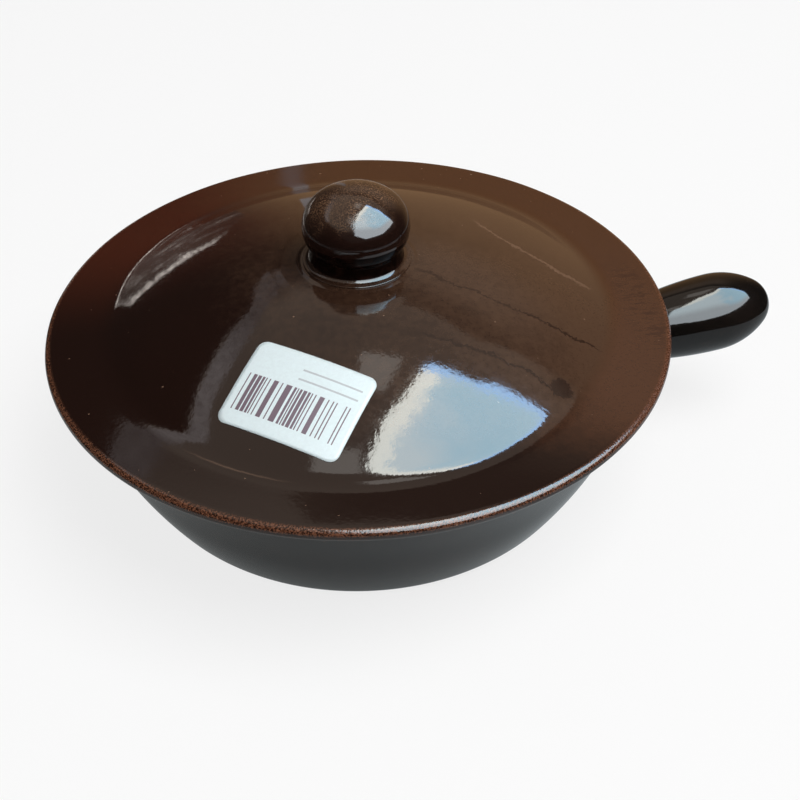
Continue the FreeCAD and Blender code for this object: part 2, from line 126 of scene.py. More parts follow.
# How finely the meshes are divided: lengths in millimetres, and counts.
EDGE_STEP = 0.1
SECTION_STEP = 2.4
SECTION_TURN = math.radians(7)
KNOB_STEP = 1.0
CORNER_STEPS = 24
BOWL_SEGMENTS = 288
LID_SEGMENTS = 320
KNOB_SEGMENTS = 160
HANDLE_SEGMENTS = 96
HANDLE_BAR_STEPS = 30
HANDLE_TIP_STEPS = 22
COVE_STEPS = 10
LABEL_CORNER_STEPS = 10
LABEL_STEP = 2.0
LABEL_RINGS = 15

CREASE_RADIUS = LID_RADIUS - FLANGE_WIDTH
LID_TOP = RIM_HEIGHT + FLANGE_THICK
DOME_CURVE = (CREASE_RADIUS**2 + DOME_RISE**2) / (2 * DOME_RISE)
DOME_CENTRE = LID_TOP + DOME_RISE - DOME_CURVE
SEAT_RADIUS = FOOT_RADIUS + SEAT_MARGIN
RING_RADIUS = SEAT_RADIUS + RING_GAP
LABEL_RADIUS = CREASE_RADIUS - LABEL_INSET
WALL_CHORD = math.hypot(RIM_RADIUS - BASE_RADIUS, RIM_HEIGHT)
WALL_CURVE = (WALL_CHORD**2 / 4 + WALL_BULGE**2) / (2 * WALL_BULGE)
WALL_SHIFT = (WALL_CURVE - WALL_BULGE) / WALL_CHORD
WALL_CENTRE = Vector(
    (
        (RIM_RADIUS + BASE_RADIUS) / 2 - WALL_SHIFT * RIM_HEIGHT,
        RIM_HEIGHT / 2 + WALL_SHIFT * (RIM_RADIUS - BASE_RADIUS),
    )
)
KNOB_SIDE_CENTRE = KNOB_RADIUS - KNOB_SIDE_ROUND
KNOB_CROWN_CURVE = (KNOB_SIDE_CENTRE**2 + KNOB_CROWN**2 - KNOB_SIDE_ROUND**2) / (
    2 * (KNOB_CROWN - KNOB_SIDE_ROUND)
)
HANDLE_TIP_CENTRE = HANDLE_LENGTH - HANDLE_TIP_ROUND
HANDLE_SWELL = HANDLE_RADIUS - HANDLE_NECK_RADIUS
HANDLE_SWELL_CURVE = (HANDLE_WIDEST**2 + HANDLE_SWELL**2) / (2 * HANDLE_SWELL)
HANDLE_SHOULDER = HANDLE_TIP_CENTRE - HANDLE_WIDEST
HANDLE_SHOULDER_CURVE = (HANDLE_SHOULDER**2 + HANDLE_RADIUS**2 - HANDLE_TIP_ROUND**2) / (
    2 * (HANDLE_RADIUS - HANDLE_TIP_ROUND)
)
HANDLE_TIP_SHARE = HANDLE_TIP_ROUND / (HANDLE_SHOULDER_CURVE - HANDLE_TIP_ROUND)
HANDLE_TIP_START = HANDLE_TIP_CENTRE + HANDLE_SHOULDER * HANDLE_TIP_SHARE

# The photograph's view, in metres.
CAMERA_PLACE = Vector((-43.28, -346.89, 307.54)) * MM
CAMERA_AIM = Vector((16.47, 18.32, 0.0)) * MM
CAMERA_ROLL = math.radians(-0.674)
CAMERA_LENS = 57.98
SENSOR_WIDTH = 36.0
NEAREST_SEEN = 0.01

# Light and floor, in metres.
SOFTBOX_PLACE = Vector((0.45, -0.35, 1.3))
SOFTBOX_AIM = Vector((0.0, 0.0, 0.05))
SOFTBOX_SIZE = 1.0
SOFTBOX_RADIANCE = 5.6
WORLD_FILL = 0.3
FLOOR_REACH = 3.0
FLOOR_GREY = (0.8, 0.8, 0.8)
FLOOR_SHINE = 0.8
WHITE = (1.0, 1.0, 1.0)

# What the gloss mirrors: colours, and places in metres from the pot's axis.
WINDOW_RADIANCE = 9.6
WINDOW_HEIGHT = 1.2
SKY_BLUE = (0.56, 0.84, 1.0)
SKY_PALE = (0.80, 0.94, 1.0)
SKY_CREAM = (1.17, 1.20, 1.12)
SKY_RIM = (0.50, 0.85, 1.35)
SKY_LOW = (0.58, 0.64, 0.68)
ROOM_DARK = (0.02, 0.018, 0.017)
ROOM_WARM = (0.29, 0.17, 0.085)
ROOM_PALE = (0.42, 0.30, 0.22)
ROOM_DIM = (0.16, 0.125, 0.10)
ROOM_UPPER = (0.11, 0.09, 0.075)
ROOM_CORNER = (0.25, 0.20, 0.16)
ROOM_DISTANCE = 0.26
CARD_DISTANCE = 0.25
HAZE_PALE = (1.0, 0.93, 0.85)
HAZE_RADIANCE = 1.7
HAZE_HEIGHT = 1.21
CEILING_DISTANCE = 4.0
CEILING_FROM = math.radians(38)
CEILING_TO = math.radians(48)
CEILING_DARK = (0.10, 0.085, 0.075)
CEILING_PALE = (0.50, 0.42, 0.35)
POST_PALE = (1.0, 0.91, 0.90)
STREAK_PALE = (0.36, 0.36, 0.38)
SILL_PALE = (1.0, 0.92, 0.85)
TABLE_LEFT = (0.19, 0.20, 0.20)
TABLE_RIGHT = (0.42, 0.46, 0.48)
TABLE_HEIGHT = 0.0005

# Gloss, relief in metres and colours of the glazes and the paper.
GLAZE_IOR = 1.6
PLAIN_SPECULAR = 0.5
POT_SPECULAR = 0.4
NECK_SPECULAR = 0.03
PAPER_ROUGH = 0.5
PAPER_IOR = 1.5
GLAZE_RELIEF = 0.00003
PAPER_RELIEF = 0.00002
DEEP_BROWN = (0.0125, 0.0050, 0.0034)
WARM_BROWN = (0.078, 0.041, 0.024)
FLANGE_BROWN = (0.064, 0.024, 0.011)
RED_BROWN = (0.055, 0.014, 0.007)
# Pale specks; also the colour of the painted highlight along the crease.
PALE_SPECK_AND_HIGHLIGHT = (0.20, 0.12, 0.08)
STREAK_BROWN = (0.026, 0.008, 0.005)
RUST_BROWN = (0.16, 0.062, 0.032)
KNOB_SPECK = (0.20, 0.11, 0.06)
# Near-black under the knob's ball, partly painted shade.
NECK_DEEP_SHADE = (0.004, 0.002, 0.0015)
POT_DEEP = (0.005, 0.004, 0.0035)
POT_BROWN = (0.011, 0.0075, 0.006)
POT_SPECK = (0.016, 0.011, 0.008)
PAPER_WHITE = (0.70, 0.80, 0.82)
PAPER_SHADE = (0.66, 0.75, 0.77)
INK = (0.10, 0.045, 0.070)

# Lines in the lid's glaze, in metres seen from above; the last is a painted
# highlight along the front of the crease. Each is part of a circle: its centre and
# radius, a direction, start and end measured in it, and the width.
UPPER_LINE = ((0.150, 0.182), 0.2326, (0.894, -0.447), 0.019, 0.082, 0.0008)
LOWER_LINE = ((-0.012, -0.142), 0.1065, (0.943, -0.333), 0.024, 0.070, 0.0009)
RIGHT_LINE = ((0.108, 0.058), 0.0710, (0.745, -0.667), 0.014, 0.064, 0.0012)
CREASE_HIGHLIGHT = ((0.0, 0.0), 0.0847, (-0.552, -0.834), 0.0824, 1.0, 0.0005)
BLOT_PLACE = (0.0545, -0.0555, 0.0)

# How fine the noise of the materials is, per metre.
BODY_CLOUDS = 24.0
BODY_MOTTLE = 420.0
LID_GRAIN = 1400.0
LID_SPECKS = 620.0
LID_RIPPLE = 800.0
RUST_PATCHES = 1900.0
RUN_STREAKS = 900.0
RUN_PATCHES = 60.0
KNOB_CLOUDS = 90.0
KNOB_SPECKLE = 2300.0
NECK_CLOUDS = 300.0
POT_CLOUDS = 35.0
POT_MOTTLE = 400.0
POT_RIPPLE = 260.0
PAPER_FIBRE = 900.0
SKY_CLOUDS = 2.0
SKY_RAGS = 22.0
SILL_STREAKS = 26.0
SILL_GRAIN = 420.0
POST_GRAIN = 150.0


def wall_radius(height, curve):
    """Radius of the bowl's wall at a height, outside or inside by the curve given."""
    return WALL_CENTRE.x + math.sqrt(curve**2 - (height - WALL_CENTRE.y) ** 2)


def on_dome(radius, curve):
    """A place on the dome, or on a surface under it, at a distance from the axis."""
    return (radius, DOME_CENTRE + math.sqrt(curve**2 - radius**2))


def straight(start, finish):
    """Many points along a straight edge of a section."""
    start, finish = Vector(start), Vector(finish)
    count = max(2, int((finish - start).length / EDGE_STEP))
    return [start.lerp(finish, i / count) for i in range(count + 1)]


def path(corners):
    """Straight edges from corner to corner."""
    return [straight(start, finish) for start, finish in zip(corners, corners[1:])]


def bowed(start, finish, radius, turn):
    """Many points along an arc that bends left (turn 1) or right (turn -1)."""
    start, finish = Vector(start), Vector(finish)
    chord = finish - start
    away = math.sqrt(radius**2 - chord.length_squared / 4)
    centre = (start + finish) / 2 + Vector((-chord.y, chord.x)).normalized() * away * turn
    first = math.atan2(start.y - centre.y, start.x - centre.x)
    sweep = turn * 2 * math.asin(chord.length / 2 / radius)
    count = max(2, int(abs(sweep) * radius / EDGE_STEP))
    angles = [first + sweep * i / count for i in range(count + 1)]
    return [centre + radius * Vector((math.cos(a), math.sin(a))) for a in angles]


def cut_back(points, distance):
    """Shorten a row of points at its end, and say in which direction it ends now."""
    rest = list(points)
    left = distance
    while len(rest) > 2 and (rest[-1] - rest[-2]).length < left:
        left -= (rest[-1] - rest[-2]).length
        rest.pop()
    direction = (rest[-1] - rest[-2]).normalized()
    rest[-1] = rest[-1] - direction * left
    return rest, direction


def crossing(point, direction, other, other_direction):
    """Where two lines meet."""
    cross = direction.x * other_direction.y - direction.y * other_direction.x
    gap = other - point
    reach = gap.x * other_direction.y - gap.y * other_direction.x
    return point + direction * reach / cross


def on_round(first, corner, last, weight, t):
    """A point on the arc that rounds a corner; t runs from 0 to 1."""
    shares = ((1 - t) ** 2, 2 * weight * t * (1 - t), t**2)
    blend = shares[0] * first + shares[1] * corner + shares[2] * last
    return blend / sum(shares)


def join_edges(edges, rounds):
    """Chain the edges of a section and round the corner after each edge by its radius."""
    edges = [list(edge) for edge in edges]
    section = []
    least_turn = 0.01
    for number, radius in enumerate(rounds):
        before, after = edges[number], edges[number + 1]
        come = (before[-1] - before[-2]).normalized()
        leave = (after[1] - after[0]).normalized()
        half_turn = math.acos(max(-1.0, min(1.0, come.dot(leave)))) / 2
        if radius == 0 or half_turn < least_turn:
            section += before[:-1]
            continue
        reach = radius * math.tan(half_turn)
        before, come = cut_back(before, reach)
        after, leave = cut_back(after[::-1], reach)
        corner = crossing(before[-1], come, after[-1], leave)
        weight = math.cos(half_turn)
        section += before[:-1]
        for i in range(CORNER_STEPS):
            t = i / CORNER_STEPS
            section.append(on_round(before[-1], corner, after[-1], weight, t))
        edges[number + 1] = after[::-1]
    return section + edges[-1]


def spread_points(section, step=SECTION_STEP, turn=SECTION_TURN):
    """Thin a dense section out: points close together only where it bends."""
    measure = [0.0]
    tiny = 1e-9
    heading = (section[1] - section[0]).normalized()
    for before, after in zip(section, section[1:]):
        way = after - before
        length = way.length
        bend = 0.0
        if length > tiny:
            bend = math.acos(max(-1.0, min(1.0, heading.dot(way / length))))
            heading = way / length
        measure.append(measure[-1] + length / step + bend / turn)
    count = math.ceil(measure[-1])
    wanted = np.linspace(0, measure[-1], count + 1)
    across = np.interp(wanted, measure, [p.x for p in section])
    up = np.interp(wanted, measure, [p.y for p in section])
    return np.column_stack([across, up])


def in_scene(name, data):
    """Put a mesh, a lamp or a camera in the scene as an object."""
    made = bpy.data.objects.new(name, data)
    bpy.context.scene.collection.objects.link(made)
    return made


def new_object(name, points, faces):
    """Make a smooth mesh object from points in millimetres."""
    mesh = bpy.data.meshes.new(name)
    mesh.from_pydata([tuple(float(x) * MM for x in p) for p in points], [], faces)
    mesh.validate()
    mesh.update()
    mesh.shade_smooth()
    return in_scene(name, mesh)


def lathe(name, section, segments):
    """Turn a section (radius, height) about +Z; both its ends lie on the axis."""
    points, rings = [], []
    nearly_none = 1e-4
    for radius, height in section:
        if radius < nearly_none:
            rings.append([len(points)])
            points.append((0.0, 0.0, height))
            continue
        rings.append(list(range(len(points), len(points) + segments)))
        for i in range(segments):
            angle = math.tau * i / segments
            points.append((radius * math.cos(angle), radius * math.sin(angle), height))
    faces = []
    for low, high in zip(rings, rings[1:]):
        for i in range(segments):
            j = (i + 1) % segments
            if len(low) == 1:
                faces.append((low[0], high[j], high[i]))
            elif len(high) == 1:
                faces.append((low[i], low[j], high[0]))
            else:
                faces.append((low[i], low[j], high[j], high[i]))
    return new_object(name, points, faces)


def make_uneven(piece):
    """Press hand-made unevenness into a surface, never outwards."""
    mesh = piece.data
    normals = [vertex.normal.copy() for vertex in mesh.vertices]
    for vertex, normal in zip(mesh.vertices, normals):
        place = vertex.co / (UNEVEN_SIZE * MM) + UNEVEN_START
        press = 0.5 + 0.5 * noise.noise(place)
        vertex.co -= normal * UNEVEN_DEPTH * MM * press
    mesh.update()


def make_bowl():
    """The bowl: flat base, bowed wall, rounded rim, rounded well."""
    inside = WALL_CURVE - WALL_THICK
    floor = (wall_radius(FLOOR_THICK, inside), FLOOR_THICK)
    mouth = (wall_radius(RIM_HEIGHT, inside), RIM_HEIGHT)
    rim = (RIM_RADIUS, RIM_HEIGHT)
    edges = [
        straight((0, 0), (BASE_RADIUS, 0)),
        bowed((BASE_RADIUS, 0), rim, WALL_CURVE, 1),
        straight(rim, mouth),
        bowed(mouth, floor, inside, -1),
        straight(floor, (0, FLOOR_THICK)),
    ]
    section = join_edges(edges, [HEEL_ROUND, RIM_ROUND, RIM_ROUND, WELL_ROUND])
    return lathe("bowl_shell", spread_points(section), BOWL_SEGMENTS)


def make_lid():
    """The lid: flat edge with a rounded bead, dome, turned ring and locating lip."""
    under = DOME_CURVE - DOME_THICK
    lip_outer = wall_radius(LIP_BOTTOM, WALL_CURVE - WALL_THICK) - LIP_CLEARANCE
    lip_inner = lip_outer - LIP_THICK
    ring = on_dome(RING_RADIUS, DOME_CURVE)
    pad_curve = DOME_CURVE + RING_STEP
    pad = on_dome(RING_RADIUS - RING_RAMP, pad_curve)
    foot = on_dome(SEAT_RADIUS + FOOT_RAMP, pad_curve)
    seat = (SEAT_RADIUS, SEAT_HEIGHT)
    corners = [
        on_dome(lip_inner, under),
        (lip_inner, LIP_BOTTOM),
        (lip_outer, LIP_BOTTOM),
        (lip_outer, RIM_HEIGHT),
        (LID_RADIUS, RIM_HEIGHT),
        (LID_RADIUS, LID_TOP),
        (CREASE_RADIUS, LID_TOP),
    ]
    edges = [
        bowed((0, DOME_CENTRE + under), corners[0], under, -1),
        *path(corners),
        bowed(corners[-1], ring, DOME_CURVE, 1),
        straight(ring, pad),
        bowed(pad, foot, pad_curve, 1),
        *path([foot, seat, (0, SEAT_HEIGHT)]),
    ]
    rounds = [UNDER_ROUND, LIP_ROUND, LIP_ROUND, SOFT_EDGE, BEAD_ROUND, BEAD_ROUND]
    rounds += [CREASE_ROUND, RING_ROUND, RING_ROUND, FOOT_ROUND, SEAT_ROUND]
    section = join_edges(edges, rounds)
    return lathe("lid_shell", spread_points(section), LID_SEGMENTS)


def make_knob():
    """The knob: a flattened ball on a short neck, coved on to a flat foot."""
    middle = KNOB_TOP - KNOB_CROWN
    crown_centre = KNOB_TOP - KNOB_CROWN_CURVE
    share = KNOB_CROWN_CURVE / (KNOB_CROWN_CURVE - KNOB_SIDE_ROUND)
    crown_height = crown_centre + (middle - crown_centre) * share
    crown_start = (KNOB_SIDE_CENTRE * share, crown_height)
    foot_top = SEAT_HEIGHT + KNOB_FOOT_EDGE
    waist = (KNOB_WAIST_RADIUS, SEAT_HEIGHT + KNOB_NECK_HEIGHT)
    foot = [(0, SEAT_HEIGHT), (FOOT_RADIUS, SEAT_HEIGHT), (FOOT_RADIUS, foot_top)]
    edges = [
        *path([*foot, (KNOB_NECK_RADIUS, foot_top), waist]),
        bowed(waist, crown_start, KNOB_SIDE_ROUND, 1),
        bowed(crown_start, (0, KNOB_TOP), KNOB_CROWN_CURVE, 1),
    ]
    section = join_edges(edges, [0, KNOB_FOOT_ROUND, KNOB_COVE, KNOB_WAIST_ROUND, 0])
    section[-1].x = 0
    return lathe("knob_ball", spread_points(section, step=KNOB_STEP), KNOB_SEGMENTS)


def handle_radius(along):
    """Radius of the club handle at a distance along its axis from the rim's radius."""
    if along > HANDLE_TIP_START:
        return math.sqrt(max(HANDLE_TIP_ROUND**2 - (along - HANDLE_TIP_CENTRE) ** 2, 0))
    curve = HANDLE_SWELL_CURVE if along < HANDLE_WIDEST else HANDLE_SHOULDER_CURVE
    return HANDLE_RADIUS - curve + math.sqrt(curve**2 - (along - HANDLE_WIDEST) ** 2)


def handle_point(along, radius, angle):
    """A point beside the handle's sloping axis."""
    forward = Vector((math.cos(HANDLE_SLOPE), 0, math.sin(HANDLE_SLOPE)))
    up = Vector((-math.sin(HANDLE_SLOPE), 0, math.cos(HANDLE_SLOPE)))
    start = Vector((RIM_RADIUS, 0, RIM_HEIGHT - HANDLE_DROP))
    side = Vector((0, 1, 0)) * math.cos(angle) + up * math.sin(angle)
    return start + forward * along + side * radius


def on_club(along, angle):
    """A point on the handle's own surface."""
    return handle_point(along, handle_radius(along), angle)


def inside_wall(point):
    """How far a point lies inside the bowl's outer wall, in millimetres."""
    across = math.hypot(point.x, point.y) - WALL_CENTRE.x
    return WALL_CURVE - math.hypot(across, point.z - WALL_CENTRE.y)


def on_wall(point, sink):
    """Move a point straight on to the bowl's outer wall, or a little under it."""
    flat = Vector((point.x, point.y, 0))
    out = flat.normalized()
    across = flat.length - WALL_CENTRE.x
    up = point.z - WALL_CENTRE.y
    scale = (WALL_CURVE - sink) / math.hypot(across, up)
    height = WALL_CENTRE.y + up * scale
    return out * (WALL_CENTRE.x + across * scale) + Vector((0, 0, height))


def find_root(angle):
    """Where a line along the handle's surface leaves the bowl's wall."""
    low, high = -15.0, 8.0
    halvings = 40
    for _ in range(halvings):
        middle = (low + high) / 2
        if inside_wall(on_club(middle, angle)) > 0:
            low = middle
        else:
            high = middle
    return low


def cove_line(root, angle):
    """Points of the cove of clay, from the handle on to the wall, and where it starts."""
    nudge = 1.0
    corner = on_club(root, angle)
    along = (on_club(root + nudge, angle) - corner).normalized()
    lifted = on_wall(handle_point(root, handle_radius(root) + nudge, angle), 0)
    down_wall = (lifted - corner).normalized()
    half_notch = along.angle(down_wall) / 2
    reach = HANDLE_BLEND / math.tan(half_notch)
    first = on_club(root + reach, angle)
    last = on_wall(corner + down_wall * reach, COVE_SINK)
    weight = math.sin(half_notch)
    shares = [step / COVE_STEPS for step in range(COVE_STEPS + 1)]
    line = [on_round(first, corner, last, weight, share) for share in shares]
    return line, root + reach


def handle_line(angle):
    """Points along one side of the handle, from its tip to its end hidden in the wall."""
    root = find_root(angle)
    cove, start = cove_line(root, angle)
    line = []
    for step in range(1, HANDLE_TIP_STEPS):
        turn = math.pi / 2 * step / HANDLE_TIP_STEPS
        along = HANDLE_WIDEST + (HANDLE_LENGTH - HANDLE_WIDEST) * math.cos(turn)
        line.append(on_club(along, angle))
    for step in range(HANDLE_BAR_STEPS):
        along = HANDLE_WIDEST + (start - HANDLE_WIDEST) * step / HANDLE_BAR_STEPS
        line.append(on_club(along, angle))
    end = handle_point(root, handle_radius(root) * HANDLE_END_SHARE, angle)
    return line + cove + [on_wall(end, HANDLE_SINK)]


def make_handle():
    """The club handle, with the cove of clay that joins its root to the wall."""
    count = HANDLE_SEGMENTS
    lines = [handle_line(math.tau * i / count) for i in range(count)]
    rings = list(zip(*lines))
    points = [handle_point(HANDLE_LENGTH, 0, 0)]
    for ring in rings:
        points += ring
    points.append(on_wall(handle_point(HANDLE_END, 0, 0), HANDLE_SINK))
    faces = []
    for i in range(count):
        j = (i + 1) % count
        faces.append((0, 1 + i, 1 + j))
        for level in range(len(rings) - 1):
            a = 1 + level * count
            b = a + count
            faces.append((a + i, b + i, b + j, a + j))
        last = 1 + (len(rings) - 1) * count
        faces.append((last + i, len(points) - 1, last + j))
    return new_object("handle_club", points, faces)


def label_outline():
    """Points round the flat label, with rounded corners."""
    outline = []
    reach = LABEL_LENGTH / 2 - LABEL_CORNER
    rise = LABEL_WIDTH / 2 - LABEL_CORNER
    for across, up, first in ((1, 1, 0), (-1, 1, 90), (-1, -1, 180), (1, -1, 270)):
        centre = Vector((across * reach, up * rise))
        for i in range(LABEL_CORNER_STEPS + 1):
            angle = math.radians(first + 90 * i / LABEL_CORNER_STEPS)
            way = Vector((math.cos(angle), math.sin(angle)))
            outline.append(centre + LABEL_CORNER * way)
    dense = []
    for start, finish in zip(outline, outline[1:] + outline[:1]):
        pieces = max(1, round((finish - start).length / LABEL_STEP))
        dense += [start.lerp(finish, i / pieces) for i in range(pieces)]
    return dense


def make_label():
    """The paper label: a rounded sheet bent over the dome."""
    place = (
        Matrix.Translation((0, 0, DOME_CENTRE))
        @ Matrix.Rotation(LABEL_BEARING, 4, "Z")
        @ Matrix.Rotation(math.asin(LABEL_RADIUS / DOME_CURVE), 4, "Y")
        @ Matrix.Rotation(LABEL_TURN, 4, "Z")
    )
    dense = label_outline()
    shares = np.linspace(1, 0, LABEL_RINGS + 1)[:-1]
    rings = [[point * share for point in dense] for share in shares]
    flat = [point for ring in rings for point in ring] + [Vector((0, 0))]
    points = []
    for level in (LABEL_THICK, 0.0):
        for point in flat:
            height = math.sqrt((DOME_CURVE + level) ** 2 - point.length_squared)
            points.append(place @ Vector((point.x, point.y, height)))
    count, layer = len(dense), len(flat)
    upper = []
    for level in range(LABEL_RINGS):
        a = level * count
        b = a + count
        for i in range(count):
            j = (i + 1) % count
            inner = (layer - 1,) if b == layer - 1 else (b + j, b + i)
            upper.append((a + i, a + j, *inner))
    faces = upper + [tuple(layer + i for i in face[::-1]) for face in upper]
    for i in range(count):
        j = (i + 1) % count
        faces.append((i, layer + i, layer + j, j))
    piece = new_object("label_sheet", points, faces)
    layer_uv = piece.data.uv_layers.new(name="label")
    for loop in piece.data.loops:
        point = flat[loop.vertex_index % layer]
        across = 0.5 + point.x / LABEL_LENGTH
        up = 0.5 + point.y / LABEL_WIDTH
        layer_uv.data[loop.index].uv = (across, up)
    return piece


class Nodes:
    """Builds the nodes of one material, or of the world, step by step."""

    def __init__(self, name, world=None):
        self.owner = world or bpy.data.materials.new(name)
        self.owner.use_nodes = True
        self.tree = self.owner.node_tree
        self.tree.nodes.clear()

    def feed(self, socket, value):
        """Link a value to a socket, or set it there."""
        if isinstance(value, bpy.types.NodeSocket):
            self.tree.links.new(value, socket)
            return
        if isinstance(value, tuple) and len(value) < len(socket.default_value):
            value = (*value, 1.0)
        socket.default_value = value

    def node(self, kind, inputs=None, **settings):
        """Add a node, set its properties, and set or link its inputs."""
        made = self.tree.nodes.new(kind)
        for key, value in settings.items():
            setattr(made, key, value)
        for key, value in (inputs or {}).items():
            self.feed(made.inputs[key], value)
        return made

    def place(self):
        """Coordinates in metres that stay with the piece."""
        return self.node("ShaderNodeTexCoord").outputs["Object"]

    def split(self, vector):
        """The three numbers of a place."""
        return self.node("ShaderNodeSeparateXYZ", {"Vector": vector}).outputs

    def noise(self, vector, scale, detail=3.0, rough=0.5):
        """Cloudy noise."""
        inputs = {"Vector": vector, "Scale": scale, "Detail": detail, "Roughness": rough}
        return self.node("ShaderNodeTexNoise", inputs).outputs["Fac"]

    def ramp(self, value, low, high, to_low=0.0, to_high=1.0):
        """Stretch a value smoothly from one span to another."""
        inputs = {"Value": value, "From Min": low, "From Max": high}
        inputs |= {"To Min": to_low, "To Max": to_high}
        made = self.node("ShaderNodeMapRange", inputs, interpolation_type="SMOOTHSTEP")
        return made.outputs["Result"]

    def maths(self, kind, first, second=0.0):
        """One step of arithmetic."""
        made = self.node("ShaderNodeMath", {0: first, 1: second}, operation=kind)
        return made.outputs[0]

    def vectors(self, kind, *values):
        """One step of arithmetic on places, which may give a number."""
        made = self.node("ShaderNodeVectorMath", dict(enumerate(values)), operation=kind)
        return made.outputs["Value" if kind in ("DISTANCE", "DOT_PRODUCT") else "Vector"]

    def total(self, *values):
        """Several values added up."""
        result = values[0]
        for value in values[1:]:
            result = self.maths("ADD", result, value)
        return result

    def product(self, *values):
        """Several values multiplied."""
        result = values[0]
        for value in values[1:]:
            result = self.maths("MULTIPLY", result, value)
        return result

    def mix(self, share, first, second):
        """Blend two colours."""
        made = self.node("ShaderNodeMix", data_type="RGBA")
        self.feed(made.inputs["Factor"], share)
        self.feed(made.inputs[6], first)
        self.feed(made.inputs[7], second)
        return made.outputs[2]

    def reach(self, vector):
        """Distance from the pot's axis."""
        across, back, _ = self.split(vector)
        square = self.total(self.product(across, across), self.product(back, back))
        return self.maths("SQRT", square)

    def arc_mark(self, place, centre, radius, way, start, finish, width):
        """A thin line along part of a circle seen from above, all in metres."""
        away = self.vectors("DISTANCE", place, (*centre, 0.0))
        beside = self.maths("ABSOLUTE", self.maths("SUBTRACT", away, radius))
        along = self.vectors("DOT_PRODUCT", place, (*way, 0.0))
        fade = 0.004
        return self.product(
            self.ramp(beside, 0.0, width, 1.0, 0.0),
            self.ramp(along, start, start + fade),
            self.ramp(along, finish - fade, finish, 1.0, 0.0),
        )

    def bumped(self, relief, strength=1.0, distance=GLAZE_RELIEF):
        """The normal of a surface with a fine relief."""
        inputs = {"Strength": strength, "Distance": distance, "Height": relief}
        return self.node("ShaderNodeBump", inputs).outputs[0]

    def finish(self, shader, kind="ShaderNodeOutputMaterial"):
        """Send the shader to the output and return the material or the world."""
        output = self.node(kind)
        self.tree.links.new(shader.outputs[0], output.inputs["Surface"])
        return self.owner

    def surface(self, colour, rough, specular=PLAIN_SPECULAR, **more):
        """The finished material of a solid surface, with a glaze's gloss unless told."""
        inputs = {
            "Base Color": colour,
            "Roughness": rough,
            "IOR": GLAZE_IOR,
            "Specular IOR Level": specular,
            **more,
        }
        return self.finish(self.node("ShaderNodeBsdfPrincipled", inputs))

    def shining(self, colour, strength=1.0):
        """The finished material of a card that shines by itself."""
        inputs = {"Color": colour, "Strength": strength}
        return self.finish(self.node("ShaderNodeEmission", inputs))


def flatten(nodes, place):
    """The same place brought down to height 0."""
    across, back, _ = nodes.split(place)
    return nodes.node("ShaderNodeCombineXYZ", {"X": across, "Y": back}).outputs[0]


def sway(nodes, place, scale, amount):
    """The place moved about by noise, so that lines run unevenly."""
    inputs = {"Vector": place, "Scale": scale, "Detail": 2.0}
    cloud = nodes.node("ShaderNodeTexNoise", inputs).outputs["Color"]
    swing = nodes.vectors("SUBTRACT", cloud, (0.5, 0.5, 0.5))
    return nodes.vectors("MULTIPLY_ADD", swing, (amount, amount, amount), place)


def hairlines_and_highlight(nodes, place):
    """Fine wavy lines where the glaze ran: two dark ones with a blot, and two pale ones,
    one of them a painted highlight along the crease.
    """
    flat = flatten(nodes, sway(nodes, sway(nodes, place, 120.0, 0.005), 800.0, 0.0030))
    steady = flatten(nodes, sway(nodes, place, 300.0, 0.0008))
    upper = nodes.arc_mark(flat, *UPPER_LINE)
    lower = nodes.arc_mark(flat, *LOWER_LINE)
    right = nodes.arc_mark(flat, *RIGHT_LINE)
    # Painted highlight: a thin pale line along the front of the crease.
    crease = nodes.arc_mark(steady, *CREASE_HIGHLIGHT)
    away = nodes.vectors("DISTANCE", flat, BLOT_PLACE)
    blot = nodes.product(nodes.ramp(away, 0.0030, 0.0042, 1.0, 0.0), 0.9)
    dark = nodes.maths("MAXIMUM", nodes.maths("MAXIMUM", upper, lower), blot)
    return dark, nodes.maths("MAXIMUM", right, crease)


def run_streaks(nodes, place):
    """Short dark streaks where the glaze ran outward over the flange by the handle."""
    stretched = nodes.vectors("MULTIPLY", place, (0.3, 1.0, 1.0))
    across, back, _ = nodes.split(place)
    aside = nodes.maths("ABSOLUTE", nodes.total(back, 0.012))
    return nodes.product(
        nodes.ramp(nodes.noise(stretched, RUN_STREAKS, 3.0, 0.6), 0.46, 0.60),
        nodes.ramp(nodes.noise(place, RUN_PATCHES, 2.0), 0.35, 0.55, 0.3, 1.0),
        nodes.ramp(across, 0.084, 0.091),
        nodes.ramp(across, 0.095, 0.100, 1.0, 0.15),
        nodes.ramp(aside, 0.018, 0.034, 1.0, 0.0),
    )


def brown_with_painted_light(nodes, place):
    """The lid's brown: dark on the left and in front as painted shade, warm on the right
    as painted light, red far left, over the glaze's own cloudy tone.
    """
    across, back, _ = nodes.split(place)
    cloud = nodes.noise(place, BODY_CLOUDS, 4.0, 0.55)
    mottle = nodes.noise(place, BODY_MOTTLE, 3.0, 0.6)
    # Painted light and shade: lighter and warmer towards the right and back, darker
    # towards the left and the front, with the glaze's own clouds and mottle added.
    painted_light_warmth = nodes.total(
        nodes.product(across, 9.0),
        nodes.product(back, 4.0),
        nodes.ramp(back, -0.088, -0.066, -0.6, 0.0),
        nodes.ramp(cloud, 0.25, 0.75, -0.16, 0.16),
        nodes.ramp(mottle, 0.3, 0.7, -0.09, 0.09),
    )
    # How much painted light warms the colour here.
    share = nodes.ramp(painted_light_warmth, -0.55, 0.65)
    on_left = nodes.ramp(across, -0.03, 0.0, 1.0, 0.0)
    far_left = nodes.product(on_left, nodes.ramp(back, 0.0, 0.06))
    deep = nodes.mix(far_left, DEEP_BROWN, RED_BROWN)
    past_dome = nodes.ramp(nodes.reach(place), 0.080, 0.087)
    warm = nodes.mix(past_dome, WARM_BROWN, FLANGE_BROWN)
    return nodes.mix(share, deep, warm), share, mottle


